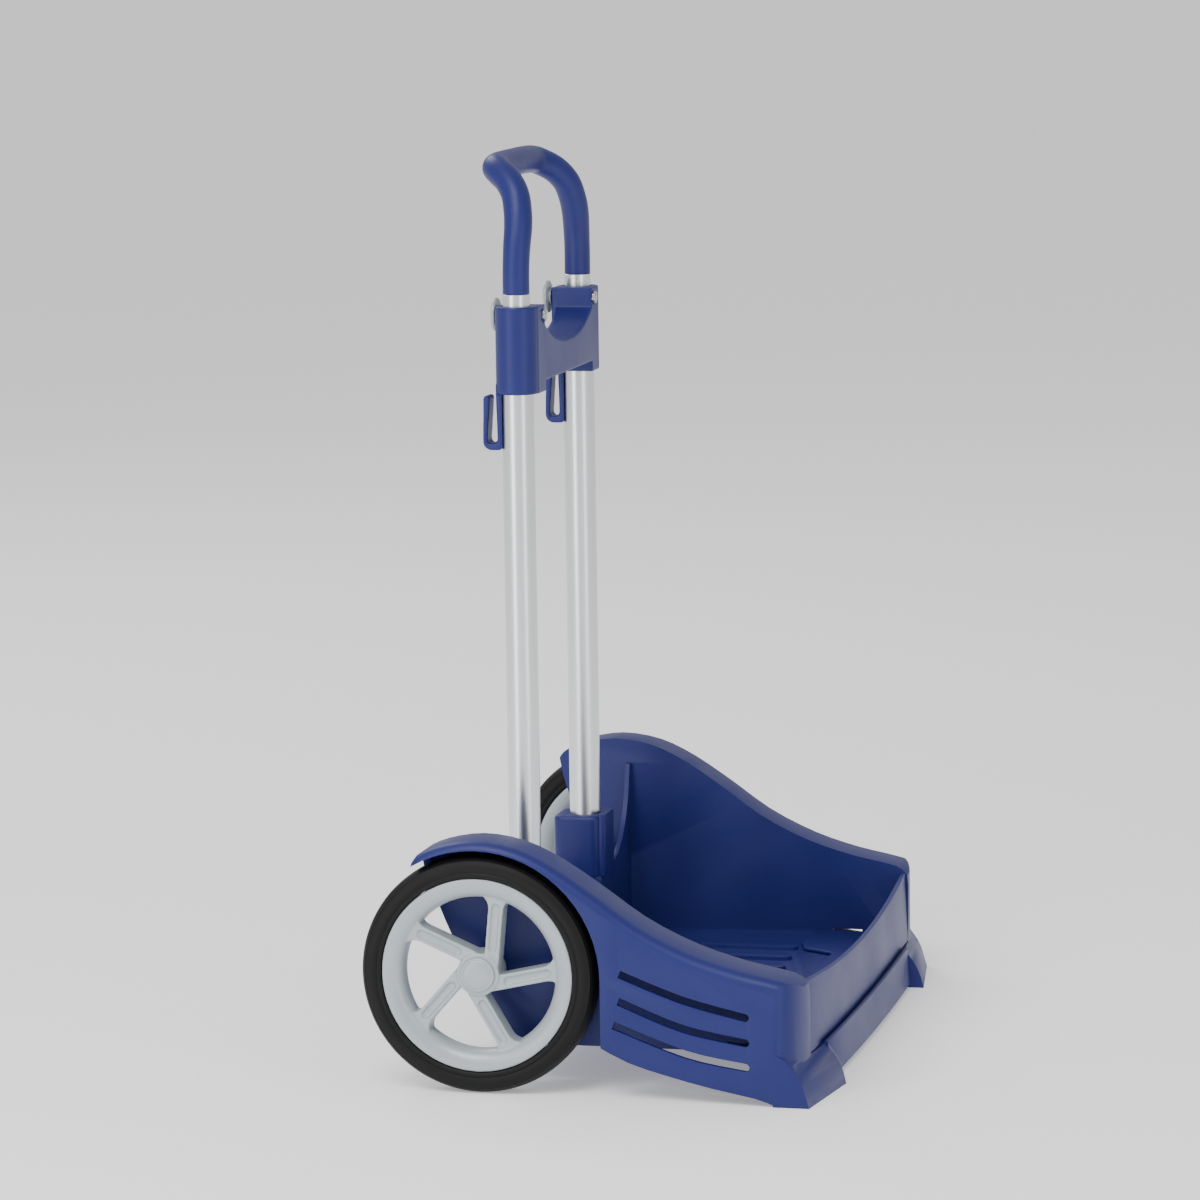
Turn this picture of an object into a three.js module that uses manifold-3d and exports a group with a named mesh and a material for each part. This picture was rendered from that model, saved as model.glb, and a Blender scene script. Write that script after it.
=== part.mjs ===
// A school-bag trolley: a moulded tray on two spoked wheels, with a telescoping U handle.
// Millimetres, +Z up, front of the tray towards -Y, wheel axle along X.
// Origin: ground level, in the middle of the trolley's length and width.

import * as THREE from 'three';
import { mergeVertices } from 'three/addons/utils/BufferGeometryUtils.js';
import Module from 'manifold-3d';

const wasm = await Module();
wasm.setup();

// ---------------------------------------------------------------- driving dimensions

const GAP = 0.3; // clearance between two pieces that touch
const WALL = 3; // moulded wall thickness

const WHEEL_RADIUS = 73.2;
const RIM_RADIUS = 59.4; // where the rim ends and the tyre begins
const WHEEL_WIDTH = 24;
const HALF_WIDTH = 206; // tray half width over the outer skirts
const TRAY_HALF_WIDTH = 168; // clear half width between the inner walls
const AXLE_Y = 70.5;
const AXLE_RADIUS = 4;
const ARCH_RADIUS = 77; // wheel arch in the outer skirt

const TUBE_SPACING = 160; // centre to centre
const OUTER_TUBE_RADIUS = 10;
const INNER_TUBE_RADIUS = 8.5;
const TUBE_WALL = 1.2;
const OUTER_TUBE_BOTTOM = 60;
const OUTER_TUBE_TOP = 455.7;
const INNER_TUBE_BOTTOM = 128;
const GRIP_BOTTOM = 475.8; // where the moulded handle meets the inner tubes

const FLOOR_TOP = 28;
const DRAFT = 0.0425; // the inner walls lean outwards this much per millimetre of height
const BEAM_TOP = 82; // top of the hollow beam that hides the axle
const BEAM_FRONT = 61;
const SOCKET_FRONT = 57; // the tube sockets stand proud of the beam
const SOCKET_TOP = 122;

const FRONT_BOW_RADIUS = 4400; // the front is slightly bowed in plan
const PANEL_FACE_Y = -131.2; // outer face of the front panel at the middle
const APRON_FACE_Y = -137.4;
const FOOT_TOE_Y = -143.7;

const HEAD_BOTTOM = 414;
const HEAD_TOP = 468;
const HEAD_FRONT = 56.8;
const CLAMP_X = 66.4; // clamp bolt, on the inner side of each tube
const CLAMP_Z = 461.7;

const TUBE_X = TUBE_SPACING / 2;
const TUBE_BORE = OUTER_TUBE_RADIUS + GAP;
const AXLE_BORE = AXLE_RADIUS + GAP;
const AXLE_Z = WHEEL_RADIUS;
const WELL_WALL_X = 178; // beyond the wheel-side face of the inner wall at its widest
const INNER_WALL_X = TRAY_HALF_WIDTH + WALL + 2; // the same face at axle height
const WHEEL_OUTER_X = 204.4;
const WHEEL_INNER_X = WHEEL_OUTER_X - WHEEL_WIDTH;

const frontBow = (x) => (x * x) / (2 * FRONT_BOW_RADIUS);

// ---------------------------------------------------------------- materials

const plastic = (color, roughness = 0.42) =>
  new THREE.MeshStandardMaterial({ color, roughness, metalness: 0 });
const metal = (color, roughness) => new THREE.MeshStandardMaterial({ color, roughness, metalness: 1 });

const bluePlastic = plastic('#2c3b84');
const greyPlastic = plastic('#bcc3c6', 0.4);
const blackRubber = plastic('#262626', 0.75);
const blackPlastic = plastic('#1d1d1f', 0.5);
const aluminium = metal('#cfd2d4', 0.32);
const steel = metal('#a9abad', 0.35);

// ---------------------------------------------------------------- solids and meshes

function signedVolume(position, index) {
  const [a, b, c] = [new THREE.Vector3(), new THREE.Vector3(), new THREE.Vector3()];
  let volume = 0;
  for (let i = 0; i < index.length; i += 3) {
    a.fromBufferAttribute(position, index[i]);
    b.fromBufferAttribute(position, index[i + 1]);
    c.fromBufferAttribute(position, index[i + 2]);
    volume += a.dot(b.cross(c)) / 6;
  }
  return volume;
}

// A closed three.js geometry as a manifold solid, with its faces pointing out.
function solid(geometry) {
  const bare = geometry.clone();
  bare.deleteAttribute('normal');
  bare.deleteAttribute('uv');
  const merged = mergeVertices(bare, 1e-4);
  const triVerts = Uint32Array.from(merged.index.array);
  if (signedVolume(merged.attributes.position, triVerts) < 0) triVerts.reverse();
  const vertProperties = Float32Array.from(merged.attributes.position.array);
  return new wasm.Manifold(new wasm.Mesh({ numProp: 3, vertProperties, triVerts }));
}

function geometryOf(manifold) {
  const mesh = manifold.getMesh();
  const geometry = new THREE.BufferGeometry();
  geometry.setAttribute('position', new THREE.BufferAttribute(Float32Array.from(mesh.vertProperties), 3));
  geometry.setIndex(new THREE.BufferAttribute(Uint32Array.from(mesh.triVerts), 1));
  return geometry;
}

const mirrorX = (manifold) => manifold.mirror([1, 0, 0]);
const bothSides = (manifold) => manifold.add(mirrorX(manifold));

// An outline, given as [u, v] pairs, pushed through along one axis.
function prism(outline, low, high, basis) {
  const shape = new THREE.Shape(outline.map(([u, v]) => new THREE.Vector2(u, v)));
  const geometry = new THREE.ExtrudeGeometry(shape, { depth: high - low, bevelEnabled: false });
  geometry.translate(0, 0, low);
  return solid(geometry.applyMatrix4(basis));
}

const AXIS_X = new THREE.Vector3(1, 0, 0);
const AXIS_Y = new THREE.Vector3(0, 1, 0);
const AXIS_Z = new THREE.Vector3(0, 0, 1);
const BASIS_YZ = new THREE.Matrix4().makeBasis(AXIS_Y, AXIS_Z, AXIS_X);
const BASIS_XY = new THREE.Matrix4();
const BASIS_ZX = new THREE.Matrix4().makeBasis(AXIS_Z, AXIS_X, AXIS_Y);

const prismX = (outline, x0, x1) => prism(outline, x0, x1, BASIS_YZ); // outline in Y, Z
const prismZ = (outline, z0, z1) => prism(outline, z0, z1, BASIS_XY); // outline in X, Y
const prismY = (outline, y0, y1) =>
  prism(outline.map(([x, z]) => [z, x]), y0, y1, BASIS_ZX); // outline in X, Z

function box([x0, x1], [y0, y1], [z0, z1]) {
  const geometry = new THREE.BoxGeometry(x1 - x0, y1 - y0, z1 - z0);
  return solid(geometry.translate((x0 + x1) / 2, (y0 + y1) / 2, (z0 + z1) / 2));
}

function rod(radius, from, to, axis, centre, segments = 32) {
  const geometry = new THREE.CylinderGeometry(radius, radius, to - from, segments);
  const turn = new THREE.Quaternion().setFromUnitVectors(AXIS_Y, axis);
  geometry.applyQuaternion(turn);
  const middle = axis.clone().multiplyScalar((from + to) / 2).add(centre);
  return solid(geometry.translate(middle.x, middle.y, middle.z));
}

const rodX = (radius, x0, x1, y, z, n) => rod(radius, x0, x1, AXIS_X, new THREE.Vector3(0, y, z), n);
const rodY = (radius, y0, y1, x, z, n) => rod(radius, y0, y1, AXIS_Y, new THREE.Vector3(x, 0, z), n);
const rodZ = (radius, z0, z1, x, y, n) => rod(radius, z0, z1, AXIS_Z, new THREE.Vector3(x, y, 0), n);

// A profile of [radius, x] pairs turned about the wheel axle.
function turned(profile, segments) {
  const points = profile.map(([radius, x]) => new THREE.Vector2(radius, x));
  const geometry = new THREE.LatheGeometry([...points, points[0]], segments);
  geometry.applyQuaternion(new THREE.Quaternion().setFromUnitVectors(AXIS_Y, AXIS_X));
  return solid(geometry.translate(0, AXLE_Y, AXLE_Z));
}

// Fills one end of a loft. The far end keeps the sense of its ring and the near end reverses it.
function addCap(index, ring, offset, keepsSense) {
  const ringSign = Math.sign(THREE.ShapeUtils.area(ring));
  for (const [a, b, c] of THREE.ShapeUtils.triangulateShape(ring, [])) {
    const sameSense = Math.sign(THREE.ShapeUtils.area([ring[a], ring[b], ring[c]])) === ringSign;
    const [second, third] = sameSense === keepsSense ? [b, c] : [c, b];
    index.push(offset + a, offset + second, offset + third);
  }
}

// A closed skin through sections that all have the same number of points.
function loft(sections, flatten) {
  const count = sections[0].length;
  const positions = sections.flat().flatMap((p) => [p.x, p.y, p.z]);
  const index = [];
  for (let s = 0; s + 1 < sections.length; s += 1) {
    for (let i = 0; i < count; i += 1) {
      const [a, b] = [s * count + i, s * count + ((i + 1) % count)];
      index.push(a, b, b + count, a, b + count, a + count);
    }
  }
  const last = (sections.length - 1) * count;
  addCap(index, sections[0].map(flatten), 0, false);
  addCap(index, sections.at(-1).map(flatten), last, true);
  const geometry = new THREE.BufferGeometry();
  geometry.setAttribute('position', new THREE.Float32BufferAttribute(positions, 3));
  geometry.setIndex(index);
  return solid(geometry);
}

const flatYZ = (p) => new THREE.Vector2(p.y, p.z);
const flatXY = (p) => new THREE.Vector2(p.x, p.y);

const spline = (points, divisions) =>
  new THREE.SplineCurve(points.map(([u, v]) => new THREE.Vector2(u, v)))
    .getPoints(divisions)
    .map((p) => [p.x, p.y]);

function arc(cu, cv, radius, from, to, steps) {
  const points = [];
  for (let i = 0; i <= steps; i += 1) {
    const angle = THREE.MathUtils.degToRad(from + ((to - from) * i) / steps);
    points.push([cu + radius * Math.cos(angle), cv + radius * Math.sin(angle)]);
  }
  return points;
}

// A rectangle with round corners, as an outline.
function roundedRectangle([u0, u1], [v0, v1], radius, steps = 5) {
  return [
    ...arc(u1 - radius, v1 - radius, radius, 0, 90, steps),
    ...arc(u0 + radius, v1 - radius, radius, 90, 180, steps),
    ...arc(u0 + radius, v0 + radius, radius, 180, 270, steps),
    ...arc(u1 - radius, v0 + radius, radius, 270, 360, steps),
  ];
}

// A constant-width band along a curve in Y and Z.
function band(points, width, divisions) {
  const curve = new THREE.SplineCurve(points.map(([u, v]) => new THREE.Vector2(u, v)));
  const [left, right] = [[], []];
  for (let i = 0; i <= divisions; i += 1) {
    const p = curve.getPoint(i / divisions);
    const t = curve.getTangent(i / divisions);
    left.push([p.x - (t.y * width) / 2, p.y + (t.x * width) / 2]);
    right.push([p.x + (t.y * width) / 2, p.y - (t.x * width) / 2]);
  }
  return [...left, ...right.reverse()];
}

const trolley = new THREE.Group();

function addPiece(name, shape, material) {
  const mesh = new THREE.Mesh(geometryOf(shape), material);
  mesh.name = name;
  trolley.add(mesh);
}

// The right-hand piece is the mirror image of the left-hand one, which is at -X.
function addPair(name, leftShape, material) {
  addPiece(`${name}_left`, leftShape, material);
  addPiece(`${name}_right`, mirrorX(leftShape), material);
}

// ---------------------------------------------------------------- tray moulding

// The top edge of each side, from the tip of the rear mudguard to the front corner.
const CREST = [
  [110.5, 141.5], [105.5, 147], [91, 152.6], [70.5, 155.4], [47, 151.8], [25, 142],
  [0, 126], [-28.5, 106], [-58, 91.5], [-86, 82.4], [-110, 77.2], [-120, 74.8],
];
const CREST_ROUND = 7; // radius along the outer edge of the crest
const SKIRT_BOTTOM = [[-112, 1.2], [-101, 4.9], [-75, 9.9], [-47, 16.7], [-23.5, 23.7], [-5, 32.8]];
const ARCH_FRONT_Y = AXLE_Y - ARCH_RADIUS;
const SIDE_REAR_EDGE = [[59, 25], [75, 53], [92, 88], [101, 110], [107, 126], [110.5, 141.5]];
const BEYOND = 170; // clear of the object, for cutting shapes

const crest = spline(CREST, 30);

// Seen from above, the tray has a bowed front and elliptical front corners.
function planOutline(inset) {
  const [cornerX, cornerY] = [HALF_WIDTH - TRAY_HALF_WIDTH - inset, 15.5];
  const faceY = PANEL_FACE_Y + inset + frontBow(TRAY_HALF_WIDTH);
  const half = [[HALF_WIDTH - inset, BEYOND]];
  for (const [u, v] of arc(0, 0, 1, 0, -90, 8)) {
    half.push([TRAY_HALF_WIDTH + cornerX * u, faceY + cornerY * (1 + v)]);
  }
  for (const x of [112, 56]) half.push([x, PANEL_FACE_Y + inset + frontBow(x)]);
  const mirrored = half.map(([x, y]) => [-x, y]).reverse();
  return [...half, [0, PANEL_FACE_Y + inset], ...mirrored];
}

const wallX = (z) => -TRAY_HALF_WIDTH - DRAFT * (z - FLOOR_TOP);

// Sections across one side, from the inner wall to the skirt, with the crest's outer edge rounded.
function sideBlock() {
  const below = [
    [-128, 62], [-150, 60], [-150, 22], [-112, 22],
    ...spline(SKIRT_BOTTOM, 10),
    [20, 25],
    ...spline(SIDE_REAR_EDGE, 8).slice(0, -1),
  ];
  const corner = [[-124, 72.6], [-127.2, 69.2]];
  const section = (x, drop) => [...crest, ...corner].map(([y, z]) => [y, z - drop]).concat(below)
    .map(([y, z]) => new THREE.Vector3(x === null ? wallX(z) : x, y, z));
  const sections = [section(null, 0)];
  for (const turn of [0, 22.5, 45, 67.5, 90]) {
    const angle = THREE.MathUtils.degToRad(turn);
    const x = -HALF_WIDTH + CREST_ROUND * (1 - Math.sin(angle));
    sections.push(section(x, CREST_ROUND * (1 - Math.cos(angle))));
  }
  return loft(sections, flatYZ).intersect(prismZ(planOutline(0), -1, BEYOND));
}

function sideCavity() {
  const roof = crest.filter(([y]) => y < 106).map(([y, z]) => [y, z - WALL - 0.4]);
  const outline = [...roof, [-124, 62], [-150, 58], [-150, -5], [106, -5]];
  const inner = outline.map(([y, z]) => new THREE.Vector3(wallX(z) - WALL, y, z));
  const outer = outline.map(([y, z]) => new THREE.Vector3(-HALF_WIDTH + WALL, y, z));
  return loft([inner, outer], flatYZ).intersect(prismZ(planOutline(WALL), -10, BEYOND));
}

function wheelArch() {
  const outline = [
    ...arc(AXLE_Y, AXLE_Z, ARCH_RADIUS, 180, 0, 30),
    [AXLE_Y + ARCH_RADIUS, -5],
    [ARCH_FRONT_Y, -5],
  ];
  return prismX(outline, -HALF_WIDTH - 1, -WELL_WALL_X);
}

const SLOT_WIDTH = 4.9;
const SLOTS = [
  [[-18.5, 77.8], [-57, 63.4], [-95.5, 54]],
  [[-17.8, 61.1], [-57, 46], [-95.5, 38.6]],
  [[-14.5, 46.4], [-59, 30.2], [-95.5, 23.6]],
];

function sideSlot(points) {
  const [tipY, tipZ] = points.at(-1);
  const slot = prismX(band(points, SLOT_WIDTH, 8), -HALF_WIDTH - 1, -HALF_WIDTH + WALL + 1);
  return slot.add(rodX(SLOT_WIDTH / 2, -HALF_WIDTH - 1, -HALF_WIDTH + WALL + 1, tipY, tipZ, 12));
}

// The front corner of the tray flares down into a hollow foot with a flat sole.
const FOOT_INNER_X = 137;
const FOOT_PROFILE = [
  // height, front of the foot at the side of the tray, front of the foot at its inner end
  { z: 0, side: -134, inner: FOOT_TOE_Y },
  { z: 7, side: -132, inner: -142 },
  { z: 13, side: -130.2, inner: -139.6 },
  { z: 18, side: -127.8, inner: -136.6 },
  { z: 24.7, side: -123, inner: -131.4 },
];
const FOOT_BACK_Y = -112;

function footBlock(inset) {
  const ring = ({ z, side, inner }) => {
    const level = z === 0 ? inset : z;
    return [
      new THREE.Vector3(-HALF_WIDTH + inset, FOOT_BACK_Y + (inset ? 1 : 0), level),
      new THREE.Vector3(-HALF_WIDTH + inset, side + inset, level),
      new THREE.Vector3(-FOOT_INNER_X - inset, inner + inset, level),
      new THREE.Vector3(-FOOT_INNER_X - inset, FOOT_BACK_Y + (inset ? 1 : 0), level),
    ];
  };
  const rings = FOOT_PROFILE.map(ring);
  if (inset) rings.push(ring({ z: 30, side: -117.5, inner: -125 }));
  return loft(rings, flatXY);
}

// Above the foot the crease runs out into the round front corner of the tray.
function footShoulder() {
  const level = (z, side, inner) => [
    new THREE.Vector3(-HALF_WIDTH, FOOT_BACK_Y, z),
    new THREE.Vector3(-HALF_WIDTH, side, z),
    new THREE.Vector3(-TRAY_HALF_WIDTH, inner, z),
    new THREE.Vector3(-TRAY_HALF_WIDTH, FOOT_BACK_Y, z),
  ];
  return loft([level(24.6, -123, -128), level(29, -118.5, -127.2), level(32, -114, -125)], flatXY);
}

function apron() {
  const profile = [
    [-125, 27], [-125, 22], [-131.6, 22], [APRON_FACE_Y + WALL, 3.5],
    [APRON_FACE_Y, 3.5], [-135, 26], [-133.6, 26.6], [-132.2, 24.9], [-127.5, 24.9], [-127.5, 27],
  ];
  const sections = [];
  for (let x = -FOOT_INNER_X - 2; x <= FOOT_INNER_X + 2.01; x += (FOOT_INNER_X + 2) / 4) {
    sections.push(profile.map(([y, z]) => new THREE.Vector3(x, y + frontBow(x), z)));
  }
  return loft(sections, flatYZ);
}

const FLOOR_RIBS = [{ x: 114, toe: -64 }, { x: 83, toe: -66 }, { x: 52, toe: -68 }];

function trayFloor() {
  const front = [];
  for (let i = 0; i <= 8; i += 1) {
    const x = -170 + (340 * i) / 8;
    front.push([x, PANEL_FACE_Y + WALL + 0.4 + frontBow(x)]);
  }
  let plate = prismZ([...front, [170, 60], [-170, 60]], FLOOR_TOP - WALL, FLOOR_TOP);
  for (const { x, toe } of FLOOR_RIBS) {
    const outline = roundedRectangle([-x - 5, -x + 5], [toe, 38], 4.9, 3);
    plate = plate.add(bothSides(prismZ(outline, FLOOR_TOP - 1, FLOOR_TOP + 2.2)));
  }
  return plate;
}

// The inner wall stops level with the floor, so the skirt hangs clear of it below.
function wallFoot() {
  const outline = [[-40, 25], [25, 25], [25, 36], [-40, 36]];
  const face = (back) => outline.map(([y, z]) => new THREE.Vector3(wallX(z) - back, y, z));
  return loft([face(0), face(WALL)], flatYZ);
}

function belowWall() {
  return box([-178, -160], [-110, 62], [-5, FLOOR_TOP - WALL]);
}

// A slit along the foot of each inner wall takes the edge of the front panel's base.
function wallSlit() {
  return box([-176, -TRAY_HALF_WIDTH + 0.2], [-97, -77], [FLOOR_TOP + 0.1, FLOOR_TOP + 3.4]);
}

// The beam across the rear is an open-backed channel that hides the axle and holds the tubes.
function rearBeam() {
  const ribOutline = [[BEAM_FRONT, 25], [62, 25], [75, 53], [88, 79], [88, BEAM_TOP], [BEAM_FRONT, BEAM_TOP]];
  let beam = box([-170, 170], [BEAM_FRONT, BEAM_FRONT + WALL], [25, BEAM_TOP]);
  beam = beam.add(box([-170, 170], [BEAM_FRONT, 88], [BEAM_TOP - WALL, BEAM_TOP]));
  for (const x of [-129, -99, -63, -31, -1.5, 28, 60, 96, 126]) {
    beam = beam.add(prismX(ribOutline, x, x + WALL));
  }
  const boss = box([-TUBE_X - 14, -TUBE_X + 14], [SOCKET_FRONT, 85.5], [53, BEAM_TOP]);
  const gusset = [
    [-118, BEAM_TOP - 1], [-118, BEAM_TOP], [-131, 85], [-144, 92.5], [-155, 104], [-163, 118],
    [-169, 139], [-174, 139], [-171.5, BEAM_TOP - 1],
  ];
  beam = beam.add(bothSides(boss.add(prismY(gusset, BEAM_FRONT, BEAM_FRONT + WALL))));
  const bore = rodZ(TUBE_BORE, OUTER_TUBE_BOTTOM - GAP, BEAM_TOP + 1, -TUBE_X, AXLE_Y);
  return beam.subtract(bothSides(bore));
}

function trayMoulding() {
  let side = sideBlock().subtract(sideCavity()).subtract(wheelArch());
  side = side.add(footBlock(0)).add(footShoulder()).subtract(footBlock(WALL));
  for (const points of SLOTS) side = side.subtract(sideSlot(points));
  side = side.add(wallFoot()).subtract(belowWall()).subtract(wallSlit());
  const tray = bothSides(side).add(apron()).add(trayFloor()).add(rearBeam());
  return tray.subtract(rodX(AXLE_BORE, -BEYOND - 10, BEYOND + 10, AXLE_Y, AXLE_Z, 24));
}

addPiece('tray', trayMoulding(), bluePlastic);

// ---------------------------------------------------------------- front panel

const PANEL_HALF_WIDTH = 167.4;
const PANEL_BOTTOM = 25.2;
const PANEL_LEAN = 2; // the top edge stands this far behind the bottom edge
const panelTop = (x) => 61.5 + 9 * (x / PANEL_HALF_WIDTH) ** 2;

function frontPanel() {
  const steps = 12;
  const sections = [];
  const front = [];
  for (let i = 0; i <= steps; i += 1) {
    const x = PANEL_HALF_WIDTH * (-1 + (2 * i) / steps);
    const face = PANEL_FACE_Y + frontBow(x);
    const topX = x * (1 + (DRAFT * (panelTop(x) - FLOOR_TOP)) / PANEL_HALF_WIDTH);
    sections.push([
      new THREE.Vector3(x, face, PANEL_BOTTOM),
      new THREE.Vector3(x, face + WALL, PANEL_BOTTOM),
      new THREE.Vector3(topX, face + WALL + PANEL_LEAN, panelTop(x)),
      new THREE.Vector3(topX, face + PANEL_LEAN, panelTop(x)),
    ]);
    front.push([x, face + 1.5]);
  }
  const lobe = [[PANEL_HALF_WIDTH, -65], [122, -65], ...arc(116, -78, 11, 80, 170, 4), [97, -90]];
  const rear = [...lobe, ...lobe.map(([x, y]) => [-x, y]).reverse()];
  const base = prismZ([...front, ...rear], FLOOR_TOP + GAP, FLOOR_TOP + GAP + 2.2);
  return loft(sections, flatYZ).add(base);
}

addPiece('front_panel', frontPanel(), bluePlastic);

// ---------------------------------------------------------------- axle and wheels

addPiece('axle', rodX(AXLE_RADIUS, -198, 198, AXLE_Y, AXLE_Z, 24), steel);

const RIM_RING_DEPTH = 12.5; // radial depth of the rounded rim ring
const HUB_RADIUS = 12.5;
const SPOKE_WIDTH = 9.5;
const SPOKE_OFFSET = 7.5; // the spokes run beside the hub centre, pinwheel fashion
const SPOKE_START = 5.5; // degrees that the first spoke leans from upright

function rimRing() {
  const half = WHEEL_WIDTH / 2 - 0.8;
  const middle = -(WHEEL_OUTER_X + WHEEL_INNER_X) / 2;
  const inner = RIM_RADIUS - RIM_RING_DEPTH;
  const profile = [
    [RIM_RADIUS, middle - half], [RIM_RADIUS, middle + half],
    [RIM_RADIUS - 4, middle + half], [RIM_RADIUS - 9, middle + half - 2.5], [inner + 1, middle + half - 6],
    [inner, middle], [inner + 1, middle - half + 6], [RIM_RADIUS - 9, middle - half + 2.5],
    [RIM_RADIUS - 4, middle - half],
  ];
  return turned(profile, 44);
}

function spoke(angle) {
  const reach = RIM_RADIUS - 7;
  const arm = box([-199, -186], [-SPOKE_WIDTH / 2, SPOKE_WIDTH / 2], [0, reach]);
  const pocketOutline = roundedRectangle([-2.7, 2.7], [13.5, 45], 2.6, 3);
  const pocket = prismX(pocketOutline, -199.5, -197);
  const shape = arm.subtract(pocket).translate([0, -SPOKE_OFFSET, 0]);
  return shape.rotate([angle, 0, 0]).translate([0, AXLE_Y, AXLE_Z]);
}

function rim() {
  let wheel = rimRing();
  for (let i = 0; i < 5; i += 1) wheel = wheel.add(spoke(SPOKE_START + i * 72));
  wheel = wheel.add(rodX(HUB_RADIUS, -200.5, -WHEEL_INNER_X, AXLE_Y, AXLE_Z, 28));
  const bore = rodX(AXLE_BORE, -210, -170, AXLE_Y, AXLE_Z, 20);
  const recess = rodX(9.2, -210, -194, AXLE_Y, AXLE_Z, 24);
  return wheel.subtract(bore).subtract(recess);
}

function tyre() {
  const [outer, inner] = [-WHEEL_OUTER_X, -WHEEL_INNER_X];
  const base = RIM_RADIUS + GAP;
  const profile = [
    [base, outer + 1.2], [base + 3.5, outer], [base + 7.5, outer + 0.6], [WHEEL_RADIUS - 2, outer + 3.6],
    [WHEEL_RADIUS - 0.3, outer + 7.5], [WHEEL_RADIUS, (outer + inner) / 2],
    [WHEEL_RADIUS - 0.3, inner - 7.5], [WHEEL_RADIUS - 2, inner - 3.6],
    [base + 7.5, inner - 0.6], [base + 3.5, inner], [base, inner - 1.2],
  ];
  return turned(profile, 44);
}

function hubCap() {
  const profile = [[0.001, -203.2], [8, -203], [10.5, -202], [10.7, -200.8], [0.001, -200.8]];
  const dome = turned(profile, 24);
  return dome.add(rodX(8.8, -201, -198.6, AXLE_Y, AXLE_Z, 24));
}

function retainingWasher() {
  const disc = rodX(8.2, -197, -194.3, AXLE_Y, AXLE_Z, 20);
  return disc.subtract(rodX(AXLE_BORE, -200, -190, AXLE_Y, AXLE_Z, 20));
}

function wheelSpacer() {
  const sleeve = rodX(8, -WHEEL_INNER_X + GAP, -INNER_WALL_X - GAP, AXLE_Y, AXLE_Z, 20);
  return sleeve.subtract(rodX(AXLE_BORE, -190, -160, AXLE_Y, AXLE_Z, 20));
}

addPair('rim', rim(), greyPlastic);
addPair('tyre', tyre(), blackRubber);
addPair('hub_cap', hubCap(), greyPlastic);
addPair('retaining_washer', retainingWasher(), steel);
addPair('wheel_spacer', wheelSpacer(), blackPlastic);

// ---------------------------------------------------------------- tubes and sockets

const SOCKET_SCREW_Z = 100;

function outerTube() {
  const skin = rodZ(OUTER_TUBE_RADIUS, OUTER_TUBE_BOTTOM, OUTER_TUBE_TOP, -TUBE_X, AXLE_Y, 32);
  const hollow = rodZ(OUTER_TUBE_RADIUS - TUBE_WALL, 0, 500, -TUBE_X, AXLE_Y, 32);
  const axleHole = rodX(AXLE_BORE, -100, -60, AXLE_Y, AXLE_Z, 20);
  const screwHole = rodY(1.9, AXLE_Y, 100, -TUBE_X, SOCKET_SCREW_Z, 10);
  return skin.subtract(hollow).subtract(axleHole).subtract(screwHole);
}

function tubeSocket() {
  const outline = roundedRectangle([-TUBE_X - 15, -TUBE_X + 15], [SOCKET_FRONT + 0.5, 89], 5, 4);
  const shape = new THREE.Shape(outline.map(([x, y]) => new THREE.Vector2(x, y)));
  const body = new THREE.ExtrudeGeometry(shape, {
    depth: SOCKET_TOP - BEAM_TOP - GAP - 2, bevelThickness: 2, bevelSize: 2, bevelOffset: -2, bevelSegments: 2,
  });
  body.translate(0, 0, BEAM_TOP + GAP);
  const flatBottom = box([-120, -40], [40, 100], [60, BEAM_TOP + GAP]);
  const bore = rodZ(TUBE_BORE, 50, 150, -TUBE_X, AXLE_Y, 32);
  const screwHole = rodY(1.9, AXLE_Y, 100, -TUBE_X, SOCKET_SCREW_Z, 10);
  const counterbore = rodY(4, 87, 100, -TUBE_X, SOCKET_SCREW_Z, 14);
  const facing = box([-TUBE_X - 13, -TUBE_X + 13], [54.3, SOCKET_FRONT + 2], [BEAM_TOP + GAP, SOCKET_TOP + 1]);
  return solid(body).add(facing).subtract(flatBottom).subtract(bore).subtract(screwHole).subtract(counterbore);
}

function socketScrew() {
  const head = rodY(3.6, 87.3, 89.4, -TUBE_X, SOCKET_SCREW_Z, 14);
  const shank = rodY(1.6, 77, 88, -TUBE_X, SOCKET_SCREW_Z, 10);
  const drive = box([-TUBE_X - 2.2, -TUBE_X + 2.2], [88.4, 90], [SOCKET_SCREW_Z - 0.5, SOCKET_SCREW_Z + 0.5]);
  const cross = box([-TUBE_X - 0.5, -TUBE_X + 0.5], [88.4, 90], [SOCKET_SCREW_Z - 2.2, SOCKET_SCREW_Z + 2.2]);
  return head.add(shank).subtract(drive).subtract(cross);
}

function innerTube() {
  const skin = rodZ(INNER_TUBE_RADIUS, INNER_TUBE_BOTTOM, GRIP_BOTTOM - GAP, -TUBE_X, AXLE_Y, 32);
  return skin.subtract(rodZ(INNER_TUBE_RADIUS - TUBE_WALL, 0, 500, -TUBE_X, AXLE_Y, 32));
}

// A plug in the foot of each inner tube keeps it centred while it slides.
function glidePlug() {
  const flange = rodZ(INNER_TUBE_RADIUS, INNER_TUBE_BOTTOM - 5, INNER_TUBE_BOTTOM - GAP, -TUBE_X, AXLE_Y, 20);
  const spigotRadius = INNER_TUBE_RADIUS - TUBE_WALL - GAP;
  return flange.add(rodZ(spigotRadius, INNER_TUBE_BOTTOM - 1, INNER_TUBE_BOTTOM + 18, -TUBE_X, AXLE_Y, 20));
}

addPair('outer_tube', outerTube(), aluminium);
addPair('tube_socket', tubeSocket(), bluePlastic);
addPair('socket_screw', socketScrew(), steel);
addPair('inner_tube', innerTube(), aluminium);
addPair('glide_plug', glidePlug(), blackPlastic);

// ---------------------------------------------------------------- cross head with strap hooks

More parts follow.
